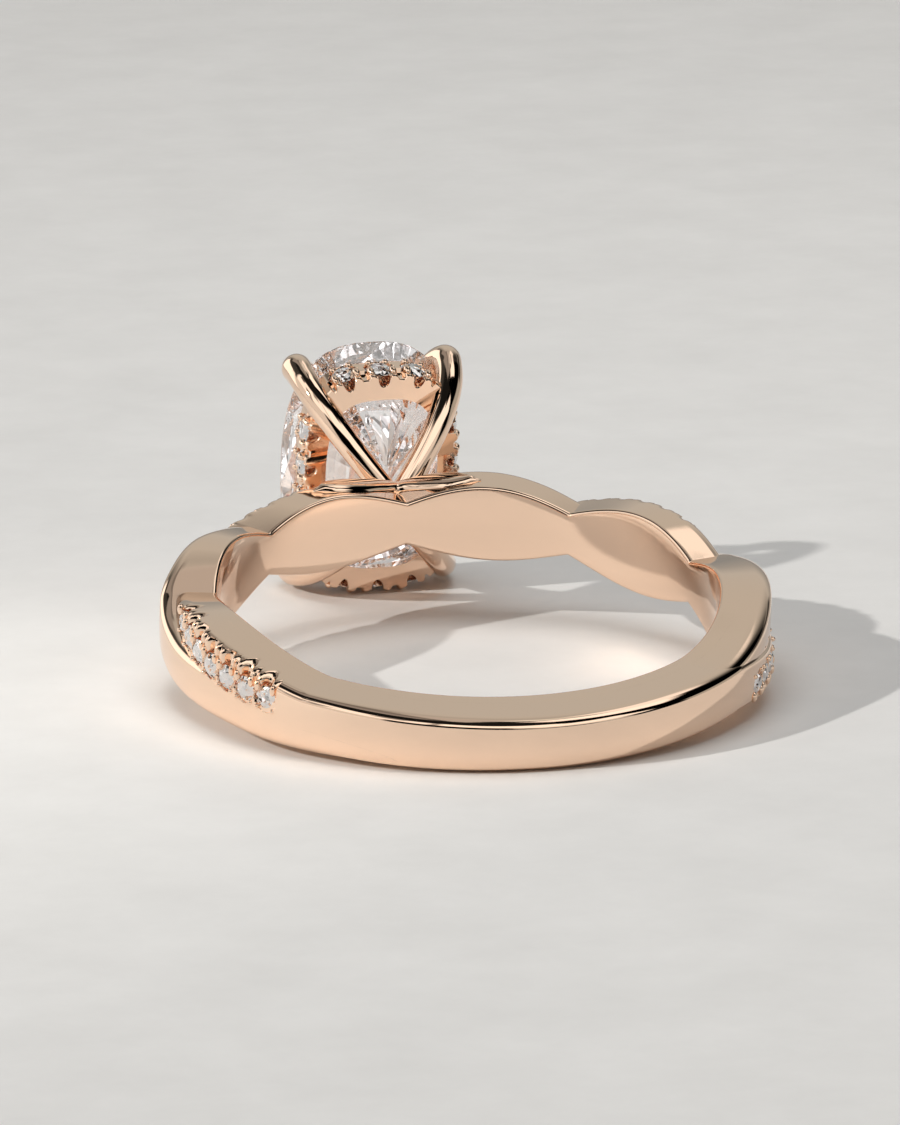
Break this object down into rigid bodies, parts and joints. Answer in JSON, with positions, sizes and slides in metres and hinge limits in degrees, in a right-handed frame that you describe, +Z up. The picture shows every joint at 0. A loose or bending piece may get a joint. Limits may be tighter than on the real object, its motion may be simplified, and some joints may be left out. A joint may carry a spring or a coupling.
{
  "type": "solitaire ring",
  "caption": "Gold engagement ring with a twisted two-strand shank, small stones along one strand, a hidden halo and an elongated cushion stone in four claws.",
  "frame": {"origin": "middle of the bounding box, on the floor that the ring lies on", "axes": "+Y from the palm side of the shank towards the head, +Z up from the floor, +X to the side; the ring lies on its side with the finger's axis 8 degrees off vertical"},
  "size_m": [0.0208, 0.0264, 0.0089],
  "materials": {
    "rose_gold": "polished",
    "diamond": "polished facets"
  },
  "bodies": {
    "root": {"mounting": "rose_gold", "centre_stone": "diamond", "halo_stone_1": "diamond", "halo_stone_2": "diamond", "halo_stone_3": "diamond", "halo_stone_4": "diamond", "halo_stone_5": "diamond", "halo_stone_6": "diamond", "halo_stone_7": "diamond", "halo_stone_8": "diamond", "halo_stone_9": "diamond", "halo_stone_10": "diamond", "halo_stone_11": "diamond", "halo_stone_12": "diamond", "halo_stone_13": "diamond", "halo_stone_14": "diamond", "shank_stones_left": "diamond", "shank_stones_right": "diamond"}
  },
  "joints": []
}
